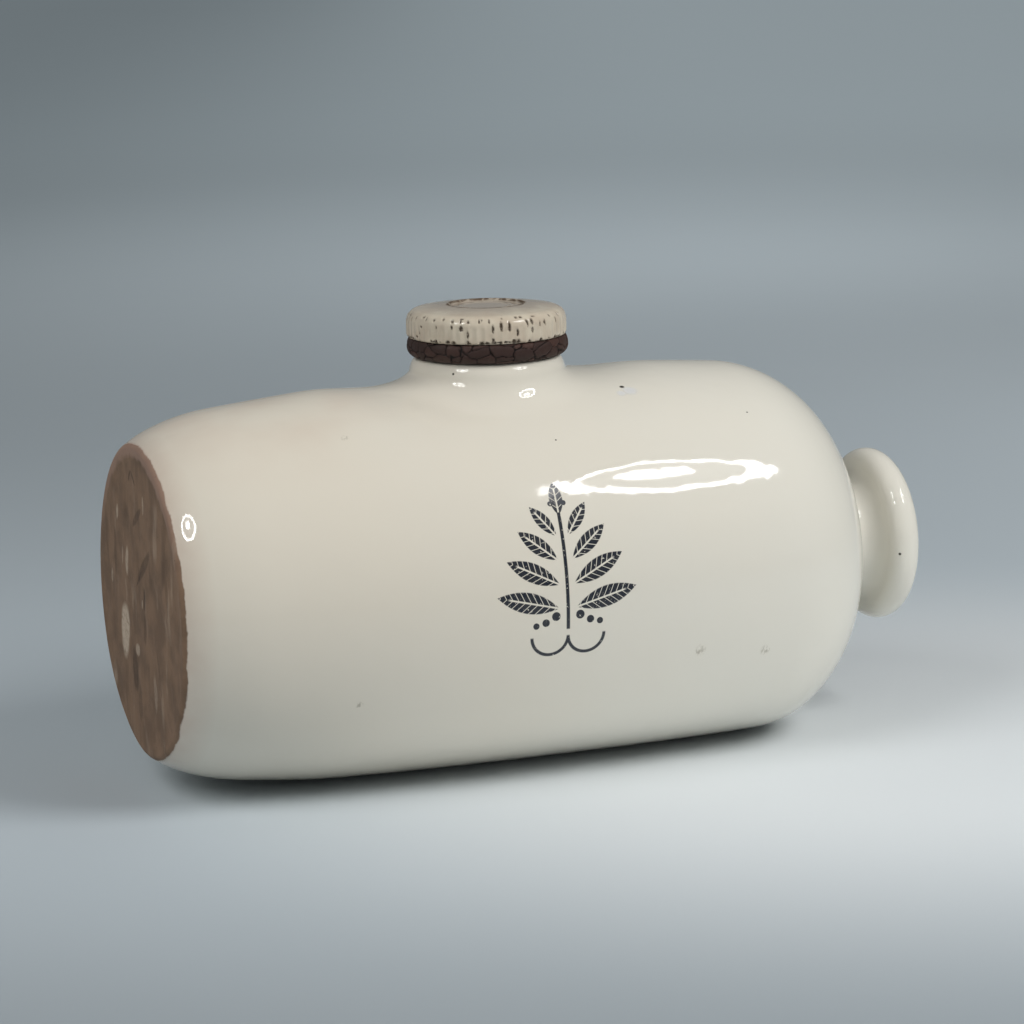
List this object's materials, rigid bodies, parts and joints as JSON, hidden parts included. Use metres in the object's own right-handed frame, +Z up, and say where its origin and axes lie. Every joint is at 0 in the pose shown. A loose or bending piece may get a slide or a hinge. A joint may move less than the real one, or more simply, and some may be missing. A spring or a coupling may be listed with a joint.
{
  "type": "stoneware hot water bottle",
  "caption": "Glazed stoneware hot water bottle lying on its squashed side, with a screw stopper on a rubber ring in its filling neck and a knob on its shoulder end.",
  "frame": {"origin": "on the surface that the bottle rests on, under the axis of the stopper and the filling neck", "axes": "+X along the barrel from the bare base to the knob, +Z up along the stopper's axis, +Y to the left of someone who looks from the base to the knob"},
  "size_m": [0.263, 0.133, 0.1488],
  "materials": {
    "cream_glaze": "glossy cream glaze over stoneware, with small pits and scuffs; the flat base is bare brown clay",
    "stopper_glaze": "worn cream glaze, chipped to dark clay along the flutes and the sunk roundel",
    "perished_rubber": "very dark brown, dull and cracked with age"
  },
  "bodies": {
    "bottle": {"barrel": "cream_glaze", "filling_neck": "cream_glaze", "end_knob": "cream_glaze"},
    "seal": {"sealing_ring": "perished_rubber"},
    "stopper": {"screw_stopper": "stopper_glaze"}
  },
  "joints": [
    {"name": "stopper_rise", "type": "slide", "parent": "bottle", "child": "seal", "axis": [0, 0, 1], "range_m": [0, 0.021]},
    {"name": "stopper_turn", "type": "hinge", "parent": "seal", "child": "stopper", "pos_m": [0, 0, 0.1386], "axis": [0, 0, 1], "range_deg": [0, 1080]}
  ],
  "couplings": [
    {"joint": "stopper_rise", "follows": "stopper_turn", "m_per_rad": 0.0011141}
  ]
}
